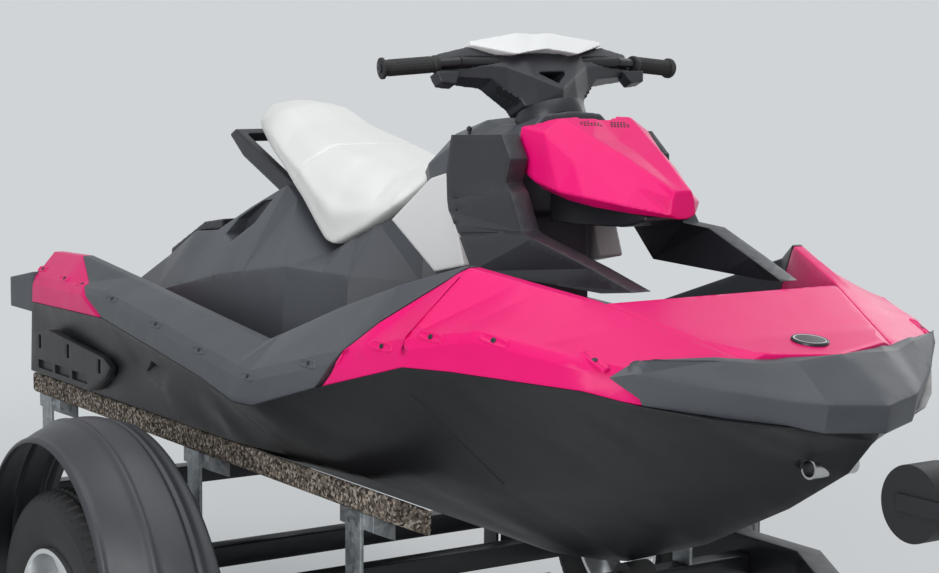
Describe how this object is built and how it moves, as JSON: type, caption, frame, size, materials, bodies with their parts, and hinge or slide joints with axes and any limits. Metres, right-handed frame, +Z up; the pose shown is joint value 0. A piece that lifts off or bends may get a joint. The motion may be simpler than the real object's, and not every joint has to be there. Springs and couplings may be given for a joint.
{
  "type": "personal watercraft on a single-axle trailer",
  "caption": "Compact angular jet-driven personal watercraft with a straddle seat and open-strut steering tower, parked on a bunk trailer with jack.",
  "frame": {"origin": "on the ground, under the middle of the overall length and on the centre plane", "axes": "+X forward to the bow and the trailer's coupler, +Y to port, +Z up"},
  "size_m": [4.03, 1.74, 1.5526],
  "materials": {
    "hull_plastic": "moulded, fine grain, low sheen",
    "grey_plastic": "moulded, fine grain, matte",
    "black_plastic": "moulded, satin",
    "pink_plastic": "mould-coloured, soft gloss",
    "white_vinyl": "sewn marine vinyl, satin",
    "white_plastic": "satin",
    "rubber": "ribbed, matte",
    "engine_metal": "cast, painted",
    "steel": "satin",
    "jet_alloy": "cast, satin",
    "galvanised": "zinc, dull spangle",
    "frame_paint": "black, semi-gloss",
    "fender_plastic": "moulded, grained",
    "carpet": "looped pile",
    "tyre": "matte",
    "alloy": "bright silver",
    "lamp_red": "clear red"
  },
  "bodies": {
    "craft_on_trailer": {"axle": "frame_paint", "bow_deck": "pink_plastic", "bow_eye": "steel", "bow_roller": "rubber", "bow_roundel": "black_plastic", "bumper": "grey_plastic", "bunk_posts": "galvanised", "bunks": "carpet", "coupler": "galvanised", "crossmembers": "frame_paint", "engine": "engine_metal", "fairings": "pink_plastic", "fender_brackets": "frame_paint", "fenders": "fender_plastic", "foot_mats": "rubber", "frame_rails": "frame_paint", "grab_loop": "black_plastic", "hatch_pad": "black_plastic", "hood": "pink_plastic", "hood_pan": "black_plastic", "hull": "hull_plastic", "intake_grate": "jet_alloy", "jack_tube": "galvanised", "keel_roller": "rubber", "knee_trims": "white_plastic", "lanyard_post": "black_plastic", "pedestal": "grey_plastic", "pump_housing": "jet_alloy", "rear_caps": "pink_plastic", "recess_plugs": "black_plastic", "ride_plate": "jet_alloy", "seat": "white_vinyl", "side_rails": "grey_plastic", "sponsons": "hull_plastic", "stern_eyes": "steel", "stern_platform": "grey_plastic", "struts": "black_plastic", "tail_lamps": "lamp_red", "tongue": "frame_paint", "tower": "grey_plastic", "winch": "galvanised", "winch_post": "frame_paint"},
    "steering": {"steering_neck": "black_plastic", "bar_cover": "black_plastic", "bar_pad": "white_plastic", "handlebar": "steel", "grips": "rubber", "levers": "black_plastic", "display": "black_plastic"},
    "nozzle": {"nozzle": "jet_alloy"},
    "impeller": {"impeller": "steel", "drive_shaft": "steel"},
    "wheel_left": {"tyre_left": "tyre", "rim_left": "alloy"},
    "wheel_right": {"tyre_right": "tyre", "rim_right": "alloy"},
    "jack_leg": {"jack_leg": "galvanised"}
  },
  "joints": [
    {"name": "steering_turn", "type": "hinge", "parent": "craft_on_trailer", "child": "steering", "pos_m": [-0.13871, 0, 1.36543], "axis": [-0.4067, 0, 0.9135], "range_deg": [-22, 22]},
    {"name": "nozzle_swing", "type": "hinge", "parent": "craft_on_trailer", "child": "nozzle", "pos_m": [-1.82197, 0, 0.59], "axis": [0, 0, 1], "range_deg": [-20, 20]},
    {"name": "impeller_spin", "type": "hinge", "parent": "craft_on_trailer", "child": "impeller", "pos_m": [-1.455, 0, 0.59], "axis": [1, 0, 0], "continuous": true},
    {"name": "wheel_left_spin", "type": "hinge", "parent": "craft_on_trailer", "child": "wheel_left", "pos_m": [-0.76506, 0.7625, 0.29], "axis": [0, 1, 0], "continuous": true},
    {"name": "wheel_right_spin", "type": "hinge", "parent": "craft_on_trailer", "child": "wheel_right", "pos_m": [-0.76506, -0.7625, 0.29], "axis": [0, 1, 0], "continuous": true},
    {"name": "jack_slide", "type": "slide", "parent": "craft_on_trailer", "child": "jack_leg", "axis": [0, 0, 1], "range_m": [0, 0.2]}
  ],
  "couplings": [
    {"joint": "nozzle_swing", "follows": "steering_turn", "ratio": -0.9}
  ]
}
